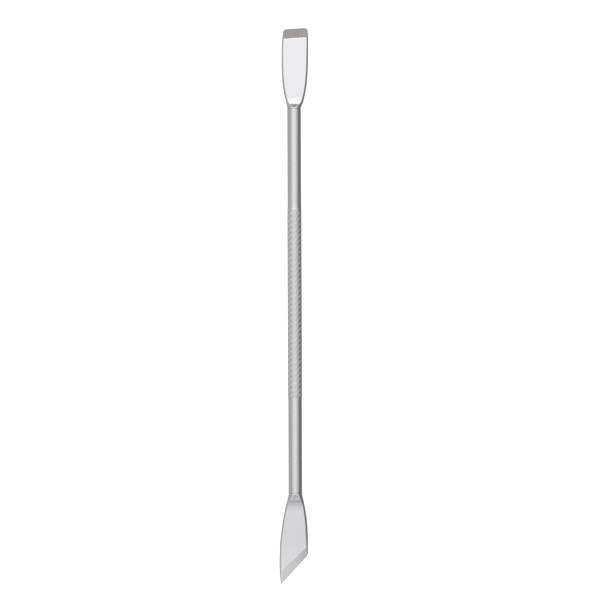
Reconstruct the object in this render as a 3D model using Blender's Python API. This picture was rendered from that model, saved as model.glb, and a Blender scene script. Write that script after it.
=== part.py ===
"""Double-ended steel spudger: a knurled round rod with a chisel blade and an angled blade in its ends.

The tool lies flat. +Y runs along the rod towards the chisel blade, +X is across the blades and +Z is up,
out of their front faces. The origin is at the centre of the bounding box's base.
"""
import math
from dataclasses import dataclass

import bmesh
import bpy

MM = 0.001

# Fit between pieces that touch
GAP = 0.3 * MM

# Rod
ROD_RADIUS = 2.14 * MM
ROD_SIDES = 40
BORE_RADIUS = 1.30 * MM
BORE_DEPTH = 10.0 * MM

# Diamond knurl rolled into the rod: two crossing sets of helical grooves
KNURL_CREST_RADIUS = 2.26 * MM
KNURL_GROOVE_RADIUS = 2.08 * MM
KNURL_STARTS = 5
KNURL_PITCH = 1.736 * MM
KNURL_QUARTERS = 138
KNURL_CENTRE = 0.8 * MM
KNURL_RUN_OUT = 0.25 * MM
KNURL_STEEPNESS = 1.6
KNURL_COLUMNS = 4 * KNURL_STARTS
# A gap between crests points straight down, so the rod can't rock on one
FIRST_ANGLE = math.pi / KNURL_COLUMNS

# Tangs, round, a gap short of the bore on every side
TANG_RADIUS = BORE_RADIUS - GAP
TANG_LENGTH = BORE_DEPTH - GAP
TANG_CHAMFER = 0.3 * MM

# Blade sections
SIDE_STEPS = 10
EDGE_ANGLE = math.radians(68)
EDGE_DEPTH = 0.58 * MM
EDGE_DEPTH_TO_THICKNESS = 0.45
EDGE_SETTLE = 5.0 * MM
TIP_ROUNDING_STEPS = 4
BEVEL_STEPS = 2

STEEL_COLOUR = (0.62, 0.62, 0.61, 1.0)
STEEL_ROUGHNESS = 0.28


@dataclass
class Blade:
    """A forged blade. Distances run outwards from the tool's middle; heights are from its axis."""
    name: str
    direction: int          # +1 points along +Y, -1 along -Y
    root: float             # the shoulder that meets the rod's end
    left_side: tuple        # (distance, half-width) pairs on the -X side
    right_side: tuple       # the same on the +X side
    tip: float              # where the cutting edge crosses the rod's axis
    tip_slope: float        # how far the edge leans outwards per unit of +X
    left_corner: float      # corner radii of the cutting edge
    right_corner: float
    ramp_start: float       # the step down from the round stock to the flat
    ramp_end: float
    ramp_drop: float
    hollow_slope: float     # slope just past the ramp, easing to the taper
    hollow_length: float
    taper: float            # slope of the flat, on each face
    level_start: float      # where the taper starts to ease to nothing
    level_length: float
    bevel: float            # width of the bevel, square to the cutting edge
    back_bevel: float       # share of the bevel's depth that is ground from the back face
    edge_thickness: float


CHISEL = Blade(
    name="chisel_blade",
    direction=1,
    root=62.0 * MM,
    left_side=((62.0, 2.14), (64.0, 2.50), (66.5, 3.07), (70.0, 3.62), (74.5, 3.86), (79.0, 3.86),
               (83.0, 3.74), (87.3, 3.30)),
    right_side=((62.0, 2.14), (64.0, 2.86), (66.5, 3.49), (70.0, 4.04), (74.5, 4.38), (79.0, 4.48),
                (83.5, 4.50), (87.6, 4.36)),
    tip=87.25 * MM,
    tip_slope=math.tan(math.radians(3.9)),
    left_corner=0.85 * MM,
    right_corner=1.1 * MM,
    ramp_start=62.25 * MM,
    ramp_end=63.3 * MM,
    ramp_drop=0.40 * MM,
    hollow_slope=0.20,
    hollow_length=2.5 * MM,
    taper=0.040,
    level_start=90.0 * MM,
    level_length=1.0 * MM,
    bevel=3.15 * MM,
    back_bevel=0.0,
    edge_thickness=0.25 * MM,
)

ANGLED = Blade(
    name="angled_blade",
    direction=-1,
    root=59.2 * MM,
    left_side=((59.2, 2.14), (61.6, 2.61), (64.5, 3.34), (68.3, 4.02), (72.0, 4.56), (76.0, 4.93),
               (81.0, 5.07), (84.5, 4.96), (87.6, 4.70)),
    right_side=((59.2, 2.14), (61.6, 2.60), (64.5, 3.16), (68.3, 3.65), (72.0, 3.88), (75.0, 3.91),
                (79.0, 3.87)),
    tip=82.90 * MM,
    tip_slope=-math.tan(math.radians(47.4)),
    left_corner=0.25 * MM,
    right_corner=0.50 * MM,
    ramp_start=59.65 * MM,
    ramp_end=60.0 * MM,
    ramp_drop=0.10 * MM,
    hollow_slope=0.22,
    hollow_length=5.0 * MM,
    taper=0.060,
    level_start=75.0 * MM,
    level_length=6.0 * MM,
    bevel=2.2 * MM,
    back_bevel=0.5,
    edge_thickness=0.26 * MM,
)


def smooth_through(points, at):
    """Value at one place on the smooth curve through (place, value) points, which are in millimetres."""
    at = at / MM
    last = len(points) - 1
    index = 0
    while index < last - 1 and at > points[index + 1][0]:
        index += 1
    (x0, y0), (x1, y1) = points[index], points[index + 1]
    before = points[max(index - 1, 0)]
    after = points[min(index + 2, last)]
    slope0 = (y1 - before[1]) / (x1 - before[0]) if index else 0.0
    slope1 = (after[1] - y0) / (after[0] - x0)
    run = x1 - x0
    t = min(max((at - x0) / run, 0.0), 1.0)
    value = (
        (2 * t**3 - 3 * t**2 + 1) * y0
        + (t**3 - 2 * t**2 + t) * run * slope0
        + (3 * t**2 - 2 * t**3) * y1
        + (t**3 - t**2) * run * slope1
    )
    return value * MM


def flat_height(blade, distance):
    """Height of the flat above the axis: round stock, a ramp, a short hollow, a taper, then level."""
    if distance <= blade.ramp_start:
        return ROD_RADIUS
    ramp = min((distance - blade.ramp_start) / (blade.ramp_end - blade.ramp_start), 1.0)
    height = ROD_RADIUS - ramp * blade.ramp_drop
    hollow = min(max(distance - blade.ramp_end, 0.0), blade.hollow_length)
    easing = (blade.hollow_slope - blade.taper) * hollow / (2 * blade.hollow_length)
    height -= hollow * (blade.hollow_slope - easing)
    past_start = max(distance - blade.level_start, 0.0)
    settling = min(past_start, blade.level_length)
    level = past_start - settling + settling**2 / (2 * blade.level_length)
    tapered = max(distance - blade.ramp_end - blade.hollow_length, 0.0)
    return height - blade.taper * (tapered - level)


def row_slope(blade, row):
    """Lean of the section at `row`: square to the rod at the root, parallel to the edge in the bevel."""
    bevel_row = bevel_start(blade)
    share = (row - blade.ramp_end) / (bevel_row - blade.ramp_end)
    share = min(max(share, 0.0), 1.0)
    return blade.tip_slope * share * share * (3 - 2 * share)


def bevel_start(blade):
    """Where the bevel's upper line crosses the axis."""
    return blade.tip - blade.bevel * math.hypot(1, blade.tip_slope)


def bevel_share(blade, row):
    """0 up to the bevel's upper line, 1 at the cutting edge."""
    return max(row - bevel_start(blade), 0.0) / (blade.tip - bevel_start(blade))


def side_at(blade, row, slope, sign):
    """Signed X where the leaning section meets the blade's left (-1) or right (+1) outline."""
    points = blade.right_side if sign > 0 else blade.left_side
    corner = blade.right_corner if sign > 0 else blade.left_corner
    x = sign * ROD_RADIUS
    for _ in range(30):
        x = sign * smooth_through(points, row + slope * x)
    into_corner = max(row - (blade.tip - corner * math.hypot(1, slope)), 0.0) / math.hypot(1, slope)
    if into_corner > 0:
        rounding = corner - math.sqrt(max(corner**2 - min(into_corner, corner)**2, 0.0))
        x -= sign * rounding / math.hypot(1, slope) * corner_widening(slope, sign)
    return x


def corner_widening(slope, sign):
    """An acute corner needs a longer run along the edge for the same rounding."""
    return 1.0 + abs(slope) if sign * slope > 0 else 1.0


def section(blade, row):
    """One closed ring of points: the right side from front to back, then the left from back to front."""
    slope = row_slope(blade, row)
    lean = math.hypot(1, slope)
    ring = []
    for sign in (1, -1):
        side = side_at(blade, row, slope, sign)
        edge_depth, edge_angle = edge_shape(blade, row)
        corner_x = side - sign * edge_depth * lean
        corner = row + slope * corner_x
        flat = flat_height(blade, corner)
        flat_at_edge = flat_height(blade, blade.tip + blade.tip_slope * corner_x)
        ground = (2 * flat_at_edge - blade.edge_thickness) * bevel_share(blade, row)
        front = flat - ground * (1 - blade.back_bevel)
        back = -flat + ground * blade.back_bevel
        middle = (front + back) / 2
        half = (front - back) / 2
        side_points = []
        for step in range(SIDE_STEPS + 1):
            angle = edge_angle * (1 - 2 * step / SIDE_STEPS)
            inward = edge_depth * lean * (1 - math.cos(angle)) / (1 - math.cos(edge_angle))
            x = side - sign * inward
            z = middle + half * math.sin(angle) / math.sin(edge_angle)
            side_points.append((x, blade.direction * (row + slope * x), z))
        ring.extend(side_points if sign > 0 else reversed(side_points))
    return ring


def edge_shape(blade, row):
    """Depth and half-angle of the rounded side: the stock's own arc at the neck, a shallow arc beyond."""
    height = min(flat_height(blade, row), ROD_RADIUS)
    neck_angle = math.asin(height / ROD_RADIUS)
    neck_depth = ROD_RADIUS * (1 - math.cos(neck_angle))
    thickness = 2 * height
    thickness += (blade.edge_thickness - thickness) * bevel_share(blade, row)
    blade_depth = min(EDGE_DEPTH, thickness * EDGE_DEPTH_TO_THICKNESS)
    share = min(max((row - blade.ramp_end) / EDGE_SETTLE, 0.0), 1.0)
    return (neck_depth + (blade_depth - neck_depth) * share, neck_angle + (EDGE_ANGLE - neck_angle) * share)


def spread(start, end, count):
    """`count` places from start, in even steps, stopping one step short of end."""
    return [start + (end - start) * step / count for step in range(count)]


def blade_rows(blade):
    """Places of the blade's sections, closest where its shape changes fastest."""
    hollow_end = blade.ramp_end + blade.hollow_length
    bevel_row = bevel_start(blade)
    corner = max(blade.left_corner, blade.right_corner) * math.hypot(1, blade.tip_slope)
    rows = [blade.root]
    rows += spread(blade.ramp_start, blade.ramp_end, 4)
    rows += spread(blade.ramp_end, hollow_end, 4)
    rows += spread(hollow_end, bevel_row, 8)
    rows += spread(bevel_row, blade.tip - corner, BEVEL_STEPS)
    for step in range(TIP_ROUNDING_STEPS + 1):
        rows.append(blade.tip - corner + corner * math.sin(math.pi / 2 * step / TIP_ROUNDING_STEPS))
    return rows


def round_section(radius, distance, direction):
    """A circle with the same point order as a blade section."""
    ring = []
    for sign in (1, -1):
        angles = [math.pi / 2 * (1 - 2 * step / SIDE_STEPS) for step in range(SIDE_STEPS + 1)]
        for angle in angles if sign > 0 else reversed(angles):
            ring.append((sign * radius * math.cos(angle), direction * distance, radius * math.sin(angle)))
    return ring


def regular_ring(radius, y, sides):
    """A regular polygon of points round the rod's axis."""
    angles = [FIRST_ANGLE + math.tau * step / sides for step in range(sides)]
    return [(radius * math.cos(angle), y, radius * math.sin(angle)) for angle in angles]


def add_ring(mesh, points):
    return [mesh.verts.new(point) for point in points]


def bridge(mesh, first, second):
    """Close the band between two rings whose point counts are equal, or one twice the other."""
    if len(first) < len(second):
        first, second = second, first
    count = len(second)
    for index in range(count):
        following = (index + 1) % count
        if len(first) == count:
            mesh.faces.new((first[index], first[following], second[following], second[index]))
            continue
        near, middle, far = first[2 * index], first[2 * index + 1], first[(2 * index + 2) % len(first)]
        mesh.faces.new((near, middle, second[index]))
        mesh.faces.new((middle, second[following], second[index]))
        mesh.faces.new((middle, far, second[following]))


def finish_mesh(name, mesh):
    """Weld, orient and shade a bmesh, and put it in the scene as one object with its own steel."""
    bmesh.ops.remove_doubles(mesh, verts=mesh.verts, dist=0.0005 * MM)
    bmesh.ops.dissolve_degenerate(mesh, edges=mesh.edges, dist=0.0001 * MM)
    bmesh.ops.recalc_face_normals(mesh, faces=mesh.faces)
    data = bpy.data.meshes.new(name)
    mesh.to_mesh(data)
    mesh.free()
    data.materials.append(steel(name))
    data.shade_smooth()
    data.set_sharp_from_angle(angle=math.radians(22))
    thing = bpy.data.objects.new(name, data)
    bpy.context.scene.collection.objects.link(thing)
    return thing


def steel(name):
    """Satin stainless steel, one material for each piece."""
    material = bpy.data.materials.new(name + "_steel")
    material.use_nodes = True
    shader = material.node_tree.nodes["Principled BSDF"]
    shader.inputs["Base Color"].default_value = STEEL_COLOUR
    shader.inputs["Metallic"].default_value = 1.0
    shader.inputs["Roughness"].default_value = STEEL_ROUGHNESS
    return material


def knurl_radius(column, row):
    """Radius at a quarter-pitch grid point: flat-topped diamonds between two crossing sets of grooves."""
    rise = 1.0
    for turn in (row + column, row - column):
        from_groove = abs((turn / 4 + 0.5) % 1.0 - 0.5) * 2
        rise = min(rise, from_groove * KNURL_STEEPNESS)
    return KNURL_GROOVE_RADIUS + (KNURL_CREST_RADIUS - KNURL_GROOVE_RADIUS) * rise


def add_knurl(mesh, start):
    """The knurl's grid of points, each band split along its grooves. Returns the two end rings."""
    rings = []
    for row in range(KNURL_QUARTERS + 1):
        points = []
        for column in range(KNURL_COLUMNS):
            radius = knurl_radius(column, row)
            angle = FIRST_ANGLE + math.tau * column / KNURL_COLUMNS
            y = start + row * KNURL_PITCH / 4
            points.append((radius * math.cos(angle), y, radius * math.sin(angle)))
        rings.append(add_ring(mesh, points))
    for row in range(KNURL_QUARTERS):
        for column in range(KNURL_COLUMNS):
            following = (column + 1) % KNURL_COLUMNS
            a, b = rings[row][column], rings[row][following]
            c, d = rings[row + 1][following], rings[row + 1][column]
            if (row + column) % 4 == 3 or (row + column) % 4 == 1 and (row - column) % 4 != 0:
                mesh.faces.new((a, b, d))
                mesh.faces.new((b, c, d))
            else:
                mesh.faces.new((a, b, c))
                mesh.faces.new((a, c, d))
    return rings[0], rings[-1]


def build_rod():
    """The knurled rod, with a blind bore in each end for a tang."""
    mesh = bmesh.new()
    low_end = -(ANGLED.root - GAP)
    high_end = CHISEL.root - GAP
    knurl_length = KNURL_QUARTERS * KNURL_PITCH / 4
    knurl_start = KNURL_CENTRE - knurl_length / 2
    knurl_low, knurl_high = add_knurl(mesh, knurl_start)
    ends = (
        (low_end, 1, knurl_low, knurl_start - KNURL_RUN_OUT),
        (high_end, -1, knurl_high, knurl_start + knurl_length + KNURL_RUN_OUT),
    )
    for end, inward, knurl_ring, run_out in ends:
        shoulder = add_ring(mesh, regular_ring(ROD_RADIUS, run_out, ROD_SIDES))
        outer = add_ring(mesh, regular_ring(ROD_RADIUS, end, ROD_SIDES))
        mouth = add_ring(mesh, regular_ring(BORE_RADIUS, end, ROD_SIDES // 2))
        bottom = add_ring(mesh, regular_ring(BORE_RADIUS, end + inward * BORE_DEPTH, ROD_SIDES // 2))
        bridge(mesh, shoulder, knurl_ring)
        bridge(mesh, shoulder, outer)
        bridge(mesh, outer, mouth)
        bridge(mesh, mouth, bottom)
        mesh.faces.new(bottom)
    return finish_mesh("handle_rod", mesh)


def build_blade(blade):
    """A blade and its tang, lofted as one solid from the tang's end to the cutting edge."""
    mesh = bmesh.new()
    tang_end = blade.root - TANG_LENGTH
    outlines = [
        round_section(TANG_RADIUS - TANG_CHAMFER, tang_end, blade.direction),
        round_section(TANG_RADIUS, tang_end + TANG_CHAMFER, blade.direction),
        round_section(TANG_RADIUS, blade.root, blade.direction),
        round_section(ROD_RADIUS, blade.root, blade.direction),
    ]
    outlines += [section(blade, row) for row in blade_rows(blade)[1:]]
    rings = [add_ring(mesh, points) for points in outlines]
    for first, second in zip(rings, rings[1:]):
        bridge(mesh, first, second)
    mesh.faces.new(rings[0])
    mesh.faces.new(rings[-1])
    return finish_mesh(blade.name, mesh)


def rest_on_origin(pieces):
    """Parent the pieces to the rod's axis, placed so the origin is the bounding box's base centre."""
    axis = bpy.data.objects.new("rod_axis", None)
    bpy.context.scene.collection.objects.link(axis)
    points = [vertex.co for piece in pieces for vertex in piece.data.vertices]
    low = [min(point[side] for point in points) for side in range(3)]
    high = [max(point[side] for point in points) for side in range(3)]
    axis.location = (-(low[0] + high[0]) / 2, -(low[1] + high[1]) / 2, -low[2])
    for piece in pieces:
        piece.parent = axis


def main():
    for thing in list(bpy.data.objects):
        bpy.data.objects.remove(thing)
    rest_on_origin([build_rod(), build_blade(CHISEL), build_blade(ANGLED)])
    bpy.context.view_layer.update()


main()
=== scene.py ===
"""Double-ended steel spudger, seen from straight above on a white light table."""
import math

import bmesh
import bpy
import numpy as np
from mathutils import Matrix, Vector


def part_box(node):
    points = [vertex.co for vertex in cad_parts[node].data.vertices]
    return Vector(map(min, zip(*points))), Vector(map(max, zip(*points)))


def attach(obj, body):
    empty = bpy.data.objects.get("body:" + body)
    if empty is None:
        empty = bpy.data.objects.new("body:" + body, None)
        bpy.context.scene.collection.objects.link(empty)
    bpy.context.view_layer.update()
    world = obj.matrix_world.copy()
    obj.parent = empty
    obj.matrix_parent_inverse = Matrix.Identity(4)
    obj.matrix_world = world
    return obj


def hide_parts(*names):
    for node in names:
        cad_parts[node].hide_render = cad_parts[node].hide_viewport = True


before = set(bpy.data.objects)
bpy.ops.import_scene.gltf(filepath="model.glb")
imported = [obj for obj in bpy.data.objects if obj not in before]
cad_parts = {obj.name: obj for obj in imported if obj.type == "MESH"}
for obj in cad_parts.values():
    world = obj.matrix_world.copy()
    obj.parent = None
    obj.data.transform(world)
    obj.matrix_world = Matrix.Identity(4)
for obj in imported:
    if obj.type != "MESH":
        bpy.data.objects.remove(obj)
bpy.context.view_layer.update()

MM = 0.001

# The frame gives the rod's place; the sizes below are the design's own
rod_low, rod_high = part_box("handle_rod")
ROD_END_CHISEL = 61.7 * MM
ROD_END_ANGLED = 58.9 * MM
AXIS_X = (rod_low[0] + rod_high[0]) / 2
AXIS_Z = (rod_low[2] + rod_high[2]) / 2
MIDDLE_Y = (rod_low[1] + rod_high[1]) / 2 - (ROD_END_CHISEL - ROD_END_ANGLED) / 2

# Camera: a long lens straight above the tool
CAMERA_DISTANCE = 900 * MM
CAMERA_SPAN = 189.4 * MM            # what the picture's long side covers at the tool
CAMERA_OFFSET = (1.67 * MM, 1.54 * MM)
CAMERA_LEAN = math.radians(0.2)

# Rod
ROD_RADIUS = 2.14 * MM
ROD_COLUMNS = 160
PLAIN_ROWS = 12                     # along each plain length of the rod
BORE_RADIUS = 1.30 * MM
BORE_DEPTH = 10.0 * MM
JOINT_GAP = 0.3 * MM                # between the pieces in the design
SEAM = 0.03 * MM                    # what shows of that gap at a shoulder
END_CHAMFER = 0.05 * MM
END_BAND = 3 * END_CHAMFER          # the rubbed band beside a chamfer
CHAMFER_WEAR = 0.6

# Diamond knurl
KNURL_CREST_RADIUS = AXIS_Z         # the crests rest on the table
KNURL_DEPTH = 0.03 * MM
KNURL_CROSS_DEPTH = 0.01 * MM       # the crossing set of grooves is shallower
KNURL_GROOVE_WIDTH = 0.20           # in pitches
KNURL_GROOVE_PAINTED_LIGHT = 6.0             # painted light: the pressed grooves are matte and painted lighter, standing in for light their steep facets catch
KNURL_GROOVE_ROUGHNESS = 0.6
# painted shade: the lands are painted a little darker across the whole knurled band
KNURL_LAND_PAINTED_SHADE = -1.5
KNURL_STARTS = 5
KNURL_PITCH = 1.736 * MM
KNURL_PITCHES = 34.5
KNURL_CENTRE = 0.8 * MM
KNURL_ROWS_A_PITCH = 16
KNURL_FADE = 0.9 * MM
KNURL_PHASE = math.pi / (4 * KNURL_STARTS)

# Tangs
TANG_RADIUS = BORE_RADIUS - JOINT_GAP
TANG_LENGTH = BORE_DEPTH - JOINT_GAP
TANG_CHAMFER = 0.3 * MM

# Blade sections: a rounded side, a flat, the other side and the other flat, with an arris at each corner
SIDE_STEPS = 20
CORNER_STEPS = 4
FLAT_STEPS = 12
SIDE_SOLVE_STEPS = 30
EDGE_ANGLE = math.radians(68)
EDGE_DEPTH = 0.58 * MM
EDGE_DEPTH_TO_THICKNESS = 0.45
EDGE_SETTLE = 5.0 * MM              # length over which the round neck becomes the blade's side
ARRIS_RADIUS = 0.10 * MM
ARRIS_SHARE = 0.3                   # of a flat's width or a side's angle, at most
ARRIS_SIDE_WEAR = 0.35
LINE_WEAR_LENGTH = 0.12 * MM        # rubbed bright on each side of a bevel's line
TIP_WEAR_LENGTH = 0.25 * MM
TIP_BREAK = 0.03 * MM
MARK_LENGTH = 0.35 * MM             # run of the faint cross marks left by forging at a neck

# Rows of sections along a blade
RAMP_ROWS = 12
HOLLOW_ROWS = 14
FLAT_ROWS = 60
LINE_ROWS = 12
LINE_HALF = 0.2 * MM                # LINE_ROWS cover twice this length across a bevel's line
BEVEL_ROWS = 12
CORNER_ROWS = 16
BLADE_HALF_WIDTH = 5.0 * MM         # how far out a skewed line runs
SHARP_ANGLE = math.radians(35)

# Blades. A row is a distance from the rod's middle, and sides are (row, distance from the axis) in mm.
# From the neck: a ramp, a hollow that eases off, and a flat that tapers until it levels out.
CHISEL = dict(
    direction=1,
    root=62.0 * MM,
    left_side=((62.0, 2.14), (64.0, 2.50), (66.5, 3.07), (70.0, 3.62), (74.5, 3.86), (79.0, 3.86),
               (83.0, 3.74), (87.3, 3.30)),
    right_side=((62.0, 2.14), (64.0, 2.86), (66.5, 3.49), (70.0, 4.04), (74.5, 4.38), (79.0, 4.48),
                (83.5, 4.50), (87.6, 4.36)),
    tip=87.25 * MM,
    tip_slope=math.tan(math.radians(3.9)),
    left_corner=0.85 * MM,
    right_corner=1.1 * MM,
    ramp_start=62.25 * MM,
    ramp_end=63.3 * MM,
    ramp_drop=0.40 * MM,
    hollow_slope=0.20,
    hollow_length=2.5 * MM,
    marks=(),
    taper=0.040,
    level_start=90.0 * MM,
    level_length=1.0 * MM,
    bevel=3.15 * MM,
    bevel_skew=0.0,
    back_bevel=0.0,
    bevel_line=0.06 * MM,
    bevel_grain=2.0,
    edge_thickness=0.25 * MM,
)

ANGLED = dict(
    direction=-1,
    root=59.2 * MM,
    left_side=((59.2, 2.14), (61.6, 2.61), (64.5, 3.34), (68.3, 4.02), (72.0, 4.56), (76.0, 4.93),
               (81.0, 5.07), (84.5, 4.96), (87.6, 4.70)),
    right_side=((59.2, 2.14), (61.6, 2.60), (64.5, 3.16), (68.3, 3.65), (72.0, 3.88), (75.0, 3.91),
                (79.0, 3.87)),
    tip=82.90 * MM,
    tip_slope=-math.tan(math.radians(47.4)),
    left_corner=0.25 * MM,
    right_corner=0.50 * MM,
    ramp_start=59.65 * MM,
    ramp_end=60.0 * MM,
    ramp_drop=0.10 * MM,
    hollow_slope=0.22,
    hollow_length=5.0 * MM,
    marks=((60.8, -0.045), (61.7, 0.065), (62.9, 0.018)),
    taper=0.060,
    level_start=75.0 * MM,
    level_length=6.0 * MM,
    bevel=2.44 * MM,
    bevel_skew=0.20,
    back_bevel=0.5,
    bevel_line=0.05 * MM,
    bevel_grain=1.4,
    edge_thickness=0.26 * MM,
)

# Steel: noise cells per metre along X, Y and Z
FINE_GRAIN = (9000, 260, 9000)
BROAD_GRAIN = (1500, 60, 1500)
CLOUDING = (220, 220, 220)
GROUND_GRAIN = (180, 2600, 180)
BROAD_SHARE = 0.5
STEEL_DARK = (0.590, 0.583, 0.597, 1)
STEEL_LIGHT = (0.660, 0.652, 0.668, 1)
STEEL_TONE = 0.45                   # between dark and light
STEEL_ROUGHNESS = 0.26
# the worn share lightens rubbed arrises and ends, and on the knurl it is painted light in the grooves and
# painted shade on the lands
TONE_CHANGES = dict(streak=0.25, cloud=0.30, worn_and_painted_light=0.50)
ROUGHNESS_CHANGES = dict(streak=0.06, cloud=0.05, worn_and_painted_light=-0.04)
GRAIN_BUMP = 0.05
GRAIN_HEIGHT = 0.002 * MM

# Light table
TABLE_HALF = 3.0
TABLE_GREY = (0.8, 0.8, 0.8, 1)
TABLE_GLOW = 0.75

# Surroundings, by the parts of the direction across (X), along (Y) and up (Z)
BACKDROP_LEVEL = 1.05               # where they are seen behind the tool
SIDE_LEVEL = 0.41
SIDE_SLOPE = -0.19                  # darker towards +X
PANEL_FALLOFF = 2.25                # the panel's level goes with up to this power
PANEL_FALLOFF_SLOPE = -0.75
PANEL_EDGE = (0.20, 0.42)           # the part up over which the panel sets in
# (part along, the panel's level there)
PANEL_ALONG = ((-0.75, 0.05), (-0.5, 0.16), (-0.4, 0.47), (-0.3, 0.60), (-0.2, 0.94), (-0.08, 0.64),
               (0.0, 0.755), (0.06, 0.86), (0.15, 0.98), (0.2, 1.01), (0.28, 1.4), (0.36, 1.8), (0.48, 1.9),
               (0.53, 0.6), (0.57, 0.03), (0.75, 0.0))
WARM_EDGE = (0.48, 0.58)            # the part along over which the light turns warm
WARM = (1.045, 1.0, 0.95, 1)
WHITE = (1, 1, 1, 1)


# ---------------------------------------------------------------- camera
def place_camera():
    """Looks straight down, with the picture's up along the rod and the tool leaning very slightly."""
    data = bpy.data.cameras.new("camera")
    data.sensor_width = 36
    data.lens = data.sensor_width * CAMERA_DISTANCE / CAMERA_SPAN
    data.clip_start = 0.01
    data.clip_end = 20
    camera = bpy.data.objects.new("camera", data)
    bpy.context.scene.collection.objects.link(camera)
    right, up = CAMERA_OFFSET
    camera.location = (AXIS_X + right, MIDDLE_Y + up, AXIS_Z + CAMERA_DISTANCE)
    camera.rotation_euler = (0, 0, -CAMERA_LEAN)
    bpy.context.scene.camera = camera


# ---------------------------------------------------------------- blade shape
def smooth_through(points, at):
    """Value at one place on the smooth curve through (place, value) points."""
    at = at / MM
    last = len(points) - 1
    index = 0
    while index < last - 1 and at > points[index + 1][0]:
        index += 1
    (x0, y0), (x1, y1) = points[index], points[index + 1]
    before = points[max(index - 1, 0)]
    after = points[min(index + 2, last)]
    slope0 = (y1 - before[1]) / (x1 - before[0]) if index else 0.0
    slope1 = (after[1] - y0) / (after[0] - x0)
    run = x1 - x0
    t = min(max((at - x0) / run, 0.0), 1.0)
    value = (
        (2 * t**3 - 3 * t**2 + 1) * y0
        + (t**3 - 2 * t**2 + t) * run * slope0
        + (3 * t**2 - 2 * t**3) * y1
        + (t**3 - t**2) * run * slope1
    )
    return value * MM


def flat_height(blade, distance):
    """Height of the forged flat above the axis."""
    if distance <= blade["ramp_start"]:
        return ROD_RADIUS
    ramp = min((distance - blade["ramp_start"]) / (blade["ramp_end"] - blade["ramp_start"]), 1.0)
    height = ROD_RADIUS - ramp * blade["ramp_drop"]
    hollow = min(max(distance - blade["ramp_end"], 0.0), blade["hollow_length"])
    easing = (blade["hollow_slope"] - blade["taper"]) * hollow / (2 * blade["hollow_length"])
    height -= hollow * (blade["hollow_slope"] - easing)
    past_start = max(distance - blade["level_start"], 0.0)
    settling = min(past_start, blade["level_length"])
    level = past_start - settling + settling**2 / (2 * blade["level_length"])
    tapered = max(distance - blade["ramp_end"] - blade["hollow_length"], 0.0)
    for place, step in blade["marks"]:
        height -= step * MM * (1 + math.tanh((distance - place * MM) / MARK_LENGTH)) / 2
    return height - blade["taper"] * (tapered - level)


def bevel_start(blade, x=0.0):
    """The row where the bevel begins; a skewed bevel is wider towards -X."""
    return blade["tip"] - blade["bevel"] * math.hypot(1, blade["tip_slope"]) + blade["bevel_skew"] * x


def row_slope(blade, row):
    """Rows lie square across the neck and turn until they lie along the cutting edge at the bevel."""
    share = (row - blade["ramp_end"]) / (bevel_start(blade) - blade["ramp_end"])
    share = min(max(share, 0.0), 1.0)
    return blade["tip_slope"] * share * share * (3 - 2 * share)


def side_at(blade, row, slope, sign):
    """Where a row meets the right (sign 1) or left (sign -1) side, with the tip's corners rounded."""
    points = blade["right_side"] if sign > 0 else blade["left_side"]
    corner = blade["right_corner"] if sign > 0 else blade["left_corner"]
    x = sign * ROD_RADIUS
    for _ in range(SIDE_SOLVE_STEPS):
        x = sign * smooth_through(points, row + slope * x)
    lean = math.hypot(1, slope)
    into_corner = max(row - (blade["tip"] - corner * lean), 0.0) / lean
    if into_corner > 0:
        rounding = corner - math.sqrt(max(corner**2 - min(into_corner, corner)**2, 0.0))
        widening = 1.0 + abs(slope) if sign * slope > 0 else 1.0
        x -= sign * rounding / lean * widening
    return x


def bevel_share(blade, row, x=0.0):
    """0 at the bevel's line and 1 at the cutting edge; below 0 on the flat."""
    start = bevel_start(blade, x)
    return (row - start) / (blade["tip"] - start)


def edge_shape(blade, row):
    """Depth and half-angle of the rounded side."""
    height = min(flat_height(blade, row), ROD_RADIUS)
    neck_angle = math.asin(height / ROD_RADIUS)
    neck_depth = ROD_RADIUS * (1 - math.cos(neck_angle))
    thickness = 2 * height
    into_bevel = bevel_share(blade, row)
    if into_bevel > 0:
        thickness += (blade["edge_thickness"] - thickness) * into_bevel
    blade_depth = min(EDGE_DEPTH, thickness * EDGE_DEPTH_TO_THICKNESS)
    share = min(max((row - blade["ramp_end"]) / EDGE_SETTLE, 0.0), 1.0)
    return (neck_depth + (blade_depth - neck_depth) * share, neck_angle + (EDGE_ANGLE - neck_angle) * share)


def soft_min(a, b, radius):
    """The lower of two heights, with the corner between them rounded."""
    mix = max(radius - abs(a - b), 0.0) / radius
    return min(a, b) - mix * mix * radius / 4


def face_height(blade, x, row, slope, share):
    """The flat, cut by its share of the bevel, with a rounded line between them."""
    flat = flat_height(blade, row + slope * x)
    flat_at_edge = flat_height(blade, blade["tip"] + blade["tip_slope"] * x)
    ground = (2 * flat_at_edge - blade["edge_thickness"]) * share
    return soft_min(flat, flat - ground * bevel_share(blade, row, x), blade["bevel_line"])


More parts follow.
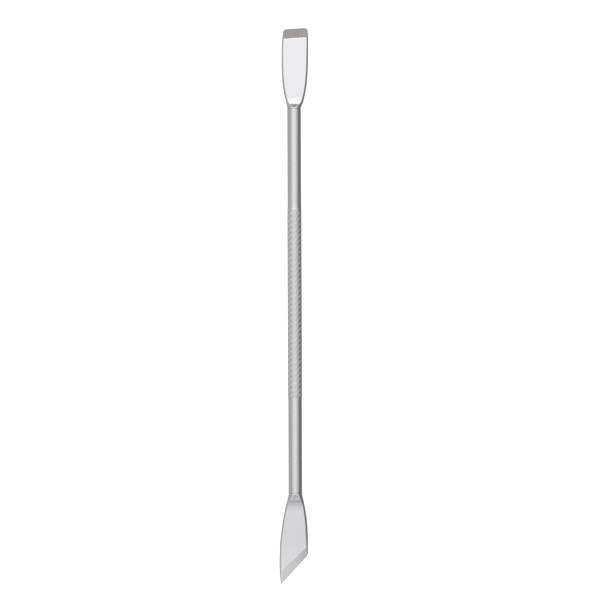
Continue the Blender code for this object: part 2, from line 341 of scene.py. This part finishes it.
def section(blade, row):
    """One closed section: right side, back flat, left side, front flat.

    Returns its points, how far each is rubbed bright, and whether each is on the bevel.
    """
    slope = row_slope(blade, row)
    lean = math.hypot(1, slope)
    edge_depth, edge_angle = edge_shape(blade, row)
    corners = {sign: side_at(blade, row, slope, sign) - sign * edge_depth * lean for sign in (1, -1)}
    trim = min(ARRIS_RADIUS, (corners[1] - corners[-1]) * ARRIS_SHARE)

    def front_point(x):
        return x, face_height(blade, x, row, slope, 1 - blade["back_bevel"])

    def back_point(x):
        return x, -face_height(blade, x, row, slope, blade["back_bevel"])

    def side_points(sign):
        """The side from front to back, without its two arrises."""
        corner_x = corners[sign]
        front, back = front_point(corner_x)[1], back_point(corner_x)[1]
        middle, half = (front + back) / 2, (front - back) / 2
        depth = edge_depth * lean / (1 - math.cos(edge_angle))
        rise = half / math.sin(edge_angle)
        cut = trim / math.hypot(depth * math.sin(edge_angle), rise * math.cos(edge_angle))
        reach = edge_angle - min(cut, edge_angle * ARRIS_SHARE)
        points = []
        for step in range(SIDE_STEPS + 1):
            angle = reach * (1 - 2 * step / SIDE_STEPS)
            x = corner_x + sign * depth * (math.cos(angle) - math.cos(edge_angle))
            points.append((x, middle + rise * math.sin(angle)))
        return points

    def arris(start, corner, end):
        """A rounded corner from start to end, both left out."""
        points = []
        for step in range(1, CORNER_STEPS):
            t = step / CORNER_STEPS
            weights = ((1 - t) ** 2, 2 * t * (1 - t), t * t)
            controls = tuple(zip(weights, (start, corner, end)))
            points.append(tuple(sum(weight * point[k] for weight, point in controls) for k in (0, 1)))
        return points

    right, left = side_points(1), side_points(-1)[::-1]
    outline, wear_and_painted_light = [], []
    for side, sign, face in ((right, 1, back_point), (left, -1, front_point)):
        other = -sign
        near, far = corners[sign] - sign * trim, corners[other] - other * trim
        opposite = left[0] if sign > 0 else right[0]
        outline += side
        wear_and_painted_light += [ARRIS_SIDE_WEAR] + [0.0] * (len(side) - 2) + [ARRIS_SIDE_WEAR]
        outline += arris(side[-1], face(corners[sign]), face(near))
        wear_and_painted_light += [1.0] * (CORNER_STEPS - 1)
        across = [near + (far - near) * step / FLAT_STEPS for step in range(FLAT_STEPS + 1)]
        outline += [face(x) for x in across]
        wear_and_painted_light += [ARRIS_SIDE_WEAR] + [0.0] * (FLAT_STEPS - 1) + [ARRIS_SIDE_WEAR]
        outline += arris(face(far), face(corners[other]), opposite)
        wear_and_painted_light += [1.0] * (CORNER_STEPS - 1)
    points = [(x, row + slope * x, z) for x, z in outline]
    near_tip = max(0.0, 1 - (blade["tip"] - row) / TIP_WEAR_LENGTH)
    near_line = [1 - abs(row - bevel_start(blade, x)) / LINE_WEAR_LENGTH for x, _ in outline]
    wear_and_painted_light = [max(value, near_tip, line) for value, line in zip(wear_and_painted_light, near_line)]
    on_bevel = [1.0 if bevel_share(blade, row, x) > 0 else 0.0 for x, _ in outline]
    return points, wear_and_painted_light, on_bevel


def spread(start, end, count):
    """`count` places from start, in even steps, stopping one step short of end."""
    return [start + (end - start) * step / count for step in range(count)]


def blade_rows(blade):
    """Places of the sections, closest together at the bevel's line and at the tip's corners."""
    hollow_end = blade["ramp_end"] + blade["hollow_length"]
    line = bevel_start(blade)
    line_half = LINE_HALF + blade["bevel_skew"] * BLADE_HALF_WIDTH
    line_rows = round(line_half / LINE_HALF) * LINE_ROWS
    corner = max(blade["left_corner"], blade["right_corner"]) * math.hypot(1, blade["tip_slope"])
    corner_start = blade["tip"] - corner
    quarter = math.pi / 2
    rows = spread(blade["ramp_start"], blade["ramp_end"], RAMP_ROWS)
    rows += spread(blade["ramp_end"], hollow_end, HOLLOW_ROWS)
    rows += spread(hollow_end, line - line_half, FLAT_ROWS)
    rows += spread(line - line_half, line + line_half, line_rows)
    rows += spread(line + line_half, corner_start, BEVEL_ROWS)
    turns = [quarter * step / CORNER_ROWS for step in range(CORNER_ROWS + 1)]
    rows += [corner_start + corner * math.sin(turn) for turn in turns]
    return rows[1:]


def round_section(radius, distance):
    """A circle with the same number and order of points as a blade section."""
    def arc(start, end, steps, ends=True):
        angles = [start + (end - start) * step / steps for step in range(steps + 1)]
        return angles if ends else angles[1:-1]

    flat_half = math.radians(6)
    arris_half = math.radians(2)
    top = math.pi / 2
    reach = top - flat_half - 2 * arris_half
    angles = []
    for turn in (0.0, -math.pi):
        angles += arc(turn + reach, turn - reach, SIDE_STEPS)
        angles += arc(turn - reach, turn - top + flat_half, CORNER_STEPS, ends=False)
        angles += arc(turn - top + flat_half, turn - top - flat_half, FLAT_STEPS)
        angles += arc(turn - top - flat_half, turn - math.pi + reach, CORNER_STEPS, ends=False)
    return [(radius * math.cos(angle), distance, radius * math.sin(angle)) for angle in angles]


# ---------------------------------------------------------------- mesh building
def loft(name, rings, wear_and_painted_light, worked, direction=1):
    """A closed solid through rings of equal point counts, set in the tool's own place.

    The surface carries two attributes: one for wear, how far it is rubbed bright, which on the knurl also
    holds painted light in the grooves and painted shade on the lands, and worked, where it is pressed or
    ground.
    """
    rings = np.asarray(rings, dtype=float)
    rings[:, :, 1] *= direction
    rings += (AXIS_X, MIDDLE_Y, AXIS_Z)
    count, around, _ = rings.shape
    index = np.arange(count * around).reshape(count, around)
    following = np.roll(index, -1, axis=1)
    quads = np.stack((index[:-1], following[:-1], following[1:], index[1:]), axis=-1).reshape(-1, 4)
    faces = quads.tolist() + [index[0].tolist(), index[-1].tolist()]
    mesh = bpy.data.meshes.new(name)
    mesh.from_pydata(rings.reshape(-1, 3).tolist(), [], faces)
    for attribute, values in (("wear_and_painted_light", wear_and_painted_light), ("worked", worked)):
        mesh.attributes.new(attribute, "FLOAT", "POINT").data.foreach_set("value", np.ravel(values))
    shaped = bmesh.new()
    shaped.from_mesh(mesh)
    bmesh.ops.recalc_face_normals(shaped, faces=shaped.faces)
    shaped.to_mesh(mesh)
    shaped.free()
    mesh.shade_smooth()
    mesh.set_sharp_from_angle(angle=SHARP_ANGLE)
    piece = bpy.data.objects.new(name, mesh)
    bpy.context.scene.collection.objects.link(piece)
    return piece


def ring(radius, y):
    """A ring of points round the rod; radius is one value, or one for each column."""
    angles = KNURL_PHASE + np.arange(ROD_COLUMNS) * math.tau / ROD_COLUMNS
    return np.stack((radius * np.cos(angles), np.full(ROD_COLUMNS, y), radius * np.sin(angles)), axis=1)


def groove(turn):
    """Depth across one set of grooves, 1 in a groove's bottom and 0 on the land; turn counts grooves."""
    from_groove = (turn + 0.5) % 1.0 - 0.5
    return np.exp(-(from_groove / KNURL_GROOVE_WIDTH) ** 2)


def build_rod():
    """The rod with its rolled diamond knurl and the two blind bores."""
    rows = int(KNURL_PITCHES * KNURL_ROWS_A_PITCH)
    length = KNURL_PITCHES * KNURL_PITCH
    start = KNURL_CENTRE - length / 2
    turns = np.arange(ROD_COLUMNS) / ROD_COLUMNS * KNURL_STARTS
    rings, wear_and_painted_light, worked = [], [], []

    def add(radius, y, polish_and_painted_light=0.0, rolled=0.0):
        rings.append(ring(radius, y))
        wear_and_painted_light.append(np.full(ROD_COLUMNS, polish_and_painted_light) if np.isscalar(polish_and_painted_light) else polish_and_painted_light)
        worked.append(np.full(ROD_COLUMNS, rolled) if np.isscalar(rolled) else rolled)

    low_end = -(ROD_END_ANGLED + JOINT_GAP / 2 - SEAM / 2)
    high_end = ROD_END_CHISEL + JOINT_GAP / 2 - SEAM / 2
    add(BORE_RADIUS, low_end + BORE_DEPTH)
    add(BORE_RADIUS, low_end)
    add(ROD_RADIUS - END_CHAMFER, low_end, CHAMFER_WEAR)
    add(ROD_RADIUS, low_end + END_CHAMFER, 1.0)
    add(ROD_RADIUS, low_end + END_BAND)
    for y in spread(low_end + 1 * MM, start, PLAIN_ROWS):
        add(ROD_RADIUS, y)
    for row in range(rows + 1):
        along = row / KNURL_ROWS_A_PITCH
        cut = KNURL_DEPTH * groove(along + turns) + KNURL_CROSS_DEPTH * groove(along - turns)
        knurl = KNURL_CREST_RADIUS - cut
        from_end = min(row, rows - row) / KNURL_ROWS_A_PITCH * KNURL_PITCH / KNURL_FADE
        fade = min(from_end, 1.0)
        fade = fade * fade * (3 - 2 * fade)
        radius = ROD_RADIUS + (knurl - ROD_RADIUS) * fade
        pressed = cut / KNURL_DEPTH * fade
        # painted light in the knurl's grooves and painted shade on its lands, in the same values as the
        # rubbed wear at the rod's ends
        polish_and_painted_light = KNURL_GROOVE_PAINTED_LIGHT * pressed + KNURL_LAND_PAINTED_SHADE * fade
        add(radius, start + along * KNURL_PITCH, polish_and_painted_light, pressed)
    for y in spread(high_end - 1 * MM, start + length, PLAIN_ROWS)[::-1]:
        add(ROD_RADIUS, y)
    add(ROD_RADIUS, high_end - END_BAND)
    add(ROD_RADIUS, high_end - END_CHAMFER, 1.0)
    add(ROD_RADIUS - END_CHAMFER, high_end, CHAMFER_WEAR)
    add(BORE_RADIUS, high_end)
    add(BORE_RADIUS, high_end - BORE_DEPTH)
    return loft("knurled_rod", rings, wear_and_painted_light, worked)


def build_blade(name, blade):
    """A blade and its tang, from the tang's end to the cutting edge."""
    shoulder = blade["root"] - JOINT_GAP / 2 + SEAM / 2
    tang_end = blade["root"] - TANG_LENGTH
    rings = [
        round_section(TANG_RADIUS - TANG_CHAMFER, tang_end),
        round_section(TANG_RADIUS, tang_end + TANG_CHAMFER),
        round_section(TANG_RADIUS, shoulder),
        round_section(ROD_RADIUS - END_CHAMFER, shoulder),
        round_section(ROD_RADIUS, shoulder + END_CHAMFER),
        round_section(ROD_RADIUS, shoulder + END_BAND),
        round_section(ROD_RADIUS, blade["ramp_start"]),
    ]
    around = len(rings[0])
    wear_and_painted_light = [[value] * around for value in (0, 0, 0, CHAMFER_WEAR, 1.0, 0, 0)]
    worked = [[0.0] * around for _ in wear_and_painted_light]
    for row in blade_rows(blade):
        points, worn_and_painted_light, on_bevel = section(blade, row)
        rings.append(points)
        wear_and_painted_light.append(worn_and_painted_light)
        worked.append(on_bevel)
    edge = np.asarray(rings[-1])
    middle = edge.mean(axis=0)
    along_edge = edge[edge[:, 0].argmax()] - edge[edge[:, 0].argmin()]
    along_edge /= np.linalg.norm(along_edge)
    outwards = np.array((-along_edge[1], along_edge[0], 0.0))
    offset = edge - middle
    run = offset @ along_edge
    squeeze = 1 - TIP_BREAK / np.abs(run).max()
    rise = offset[:, 2:3] * (1 - TIP_BREAK / np.abs(offset[:, 2]).max())
    broken = middle + np.outer(run * squeeze, along_edge) + rise * (0, 0, 1) + outwards * TIP_BREAK / 2
    rings.append(broken)
    wear_and_painted_light.append([1.0] * around)
    worked.append([1.0] * around)
    return loft(name, rings, wear_and_painted_light, worked, blade["direction"])


# ---------------------------------------------------------------- materials
class Nodes:
    """A short way to write a node tree."""

    def __init__(self, tree):
        self.tree = tree

    def add(self, kind, settings=(), **inputs):
        node = self.tree.nodes.new(kind)
        for key, value in dict(settings).items():
            setattr(node, key, value)
        for key, value in inputs.items():
            self.put(node, key, value)
        return node

    def put(self, node, key, value):
        name = int(key[1:]) if key[:1] == "i" and key[1:].isdigit() else key.replace("_", " ")
        if isinstance(value, bpy.types.NodeSocket):
            self.tree.links.new(value, node.inputs[name])
        else:
            node.inputs[name].default_value = value

    def math(self, operation, a, b, c=0.0):
        return self.add("ShaderNodeMath", dict(operation=operation), i0=a, i1=b, i2=c).outputs[0]

    def curve(self, value, points):
        """Straight lines through (place, value) points; places from -1 to 1, values from 0 to 2."""
        place = self.math("MULTIPLY_ADD", value, 0.5, 0.5)
        node = self.add("ShaderNodeValToRGB", Fac=place)
        stops = node.color_ramp.elements
        stops.remove(stops[1])
        for number, (at, level) in enumerate(points):
            stop = stops.new((at + 1) / 2) if number else stops[0]
            stop.position = (at + 1) / 2
            stop.color = (level / 2, level / 2, level / 2, 1)
        return self.math("MULTIPLY", node.outputs["Color"], 2.0)

    def ramp(self, value, low, high):
        """0 below low and 1 above high, with a smooth step between them."""
        node = self.add("ShaderNodeMapRange", dict(interpolation_type="SMOOTHSTEP"), Value=value)
        node.inputs["From Min"].default_value = low
        node.inputs["From Max"].default_value = high
        return node.outputs["Result"]

    def mix(self, share, a, b):
        """From value a to value b."""
        return self.add("ShaderNodeMix", dict(data_type="FLOAT"), Factor=share, A=a, B=b).outputs[0]

    def blend(self, share, a, b, **settings):
        """From colour a to colour b; inputs 6 and 7 are the node's two colours."""
        settings["data_type"] = "RGBA"
        return self.add("ShaderNodeMix", settings, Factor=share, i6=a, i7=b).outputs[2]


def satin_steel(name, worked_roughness=0.0, edge_turn=0.0, bevel_grain=0.0):
    """Satin stainless steel: fine drawn grain along the piece, faint clouding, arrises rubbed brighter, and
    on the knurl painted light in the grooves and painted shade on the lands.

    The worked surface is a knurl's grooves, or a bevel, whose own grain runs along the cutting edge.
    """
    material = bpy.data.materials.new(name)
    material.use_nodes = True
    tree = material.node_tree
    nodes = Nodes(tree)
    shader = tree.nodes["Principled BSDF"]
    place = nodes.add("ShaderNodeTexCoord").outputs["Object"]
    # rubbed brightness, and on the knurl painted light in the grooves and painted shade on the lands
    worn_and_painted_light = nodes.add("ShaderNodeAttribute", dict(attribute_name="wear_and_painted_light")).outputs["Fac"]
    worked = nodes.add("ShaderNodeAttribute", dict(attribute_name="worked")).outputs["Fac"]

    def grain(detail, scale, turn=0.0):
        turned = nodes.add("ShaderNodeMapping", Vector=place, Rotation=(0, 0, turn)).outputs[0]
        stretched = nodes.add("ShaderNodeMapping", Vector=turned, Scale=scale).outputs[0]
        noise = nodes.add("ShaderNodeTexNoise", Vector=stretched, Scale=1.0, Detail=detail, Roughness=0.6)
        return nodes.math("SUBTRACT", noise.outputs["Fac"], 0.5)

    fine = grain(3.0, FINE_GRAIN)
    broad = grain(2.0, BROAD_GRAIN)
    cloud = grain(3.0, CLOUDING)
    streak = nodes.math("MULTIPLY_ADD", broad, BROAD_SHARE, fine)
    if bevel_grain:
        ground = nodes.math("MULTIPLY", grain(2.0, GROUND_GRAIN, edge_turn), bevel_grain)
        streak = nodes.mix(worked, streak, ground)
    surface = dict(streak=streak, cloud=cloud, worn_and_painted_light=worn_and_painted_light)

    tone, rough = STEEL_TONE, STEEL_ROUGHNESS
    for key, change in TONE_CHANGES.items():
        tone = nodes.math("MULTIPLY_ADD", surface[key], change, tone)
    for key, change in ROUGHNESS_CHANGES.items():
        rough = nodes.math("MULTIPLY_ADD", surface[key], change, rough)
    rough = nodes.math("MULTIPLY_ADD", worked, worked_roughness, rough)
    colour = nodes.blend(tone, STEEL_DARK, STEEL_LIGHT, clamp_factor=False)
    bump = nodes.add("ShaderNodeBump", Height=streak, Strength=GRAIN_BUMP, Distance=GRAIN_HEIGHT)
    tree.links.new(colour, shader.inputs["Base Color"])
    tree.links.new(rough, shader.inputs["Roughness"])
    tree.links.new(bump.outputs[0], shader.inputs["Normal"])
    shader.inputs["Metallic"].default_value = 1.0
    return material


# ---------------------------------------------------------------- stage
def light_table():
    """A white table, lit from below as well, so that no shadow greys it, and not mirrored in the steel."""
    mesh = bpy.data.meshes.new("light_table")
    corners = [(x * TABLE_HALF, y * TABLE_HALF, 0) for x, y in ((-1, -1), (1, -1), (1, 1), (-1, 1))]
    mesh.from_pydata(corners, [], [(0, 1, 2, 3)])
    floor = bpy.data.objects.new("light_table", mesh)
    bpy.context.scene.collection.objects.link(floor)
    material = bpy.data.materials.new("white_table")
    material.use_nodes = True
    shader = material.node_tree.nodes["Principled BSDF"]
    shader.inputs["Base Color"].default_value = TABLE_GREY
    shader.inputs["Roughness"].default_value = 0.9
    shader.inputs["Specular IOR Level"].default_value = 0.1
    shader.inputs["Emission Color"].default_value = WHITE
    shader.inputs["Emission Strength"].default_value = TABLE_GLOW
    floor.visible_glossy = False
    mesh.materials.append(material)


def studio_light():
    """Soft light from a large overhead panel, stronger towards +Y and cut off past it, dimmer at +X."""
    world = bpy.data.worlds.new("studio")
    bpy.context.scene.world = world
    world.use_nodes = True
    tree = world.node_tree
    nodes = Nodes(tree)
    direction = nodes.add("ShaderNodeTexCoord").outputs["Generated"]
    across, along, up = nodes.add("ShaderNodeSeparateXYZ", Vector=direction).outputs
    around = nodes.math("MULTIPLY_ADD", across, SIDE_SLOPE, SIDE_LEVEL)
    falloff = nodes.math("MULTIPLY_ADD", across, PANEL_FALLOFF_SLOPE, PANEL_FALLOFF)
    overhead = nodes.math("POWER", nodes.math("MAXIMUM", up, 0.0), falloff)
    overhead = nodes.math("MULTIPLY", overhead, nodes.ramp(up, *PANEL_EDGE))
    panel = nodes.math("MULTIPLY", overhead, nodes.curve(along, PANEL_ALONG))
    seen = nodes.add("ShaderNodeLightPath").outputs["Is Camera Ray"]
    strength = nodes.mix(seen, nodes.math("ADD", around, panel), BACKDROP_LEVEL)
    tint = nodes.blend(nodes.ramp(along, *WARM_EDGE), WHITE, WARM)
    background = tree.nodes["Background"]
    tree.links.new(nodes.blend(seen, tint, WHITE), background.inputs["Color"])
    tree.links.new(strength, background.inputs["Strength"])


# ---------------------------------------------------------------- the object
def main():
    place_camera()
    bpy.context.scene.view_settings.view_transform = "Standard"
    rod_satin = satin_steel("rod_satin", worked_roughness=KNURL_GROOVE_ROUGHNESS)
    chisel_satin, angled_satin = [
        satin_steel(
            name,
            edge_turn=-blade["direction"] * math.atan(blade["tip_slope"]),
            bevel_grain=blade["bevel_grain"],
        )
        for name, blade in (("chisel_satin", CHISEL), ("angled_satin", ANGLED))
    ]
    pieces = (
        (build_rod(), "handle_rod", "rod_steel", rod_satin),
        (build_blade("chisel_end", CHISEL), "chisel_blade", "chisel_steel", chisel_satin),
        (build_blade("angled_end", ANGLED), "angled_blade", "angled_steel", angled_satin),
    )
    for piece, node, slot, material in pieces:
        piece.data.materials.append(material)
        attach(piece, "root")
        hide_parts(node)
    light_table()
    studio_light()


main()
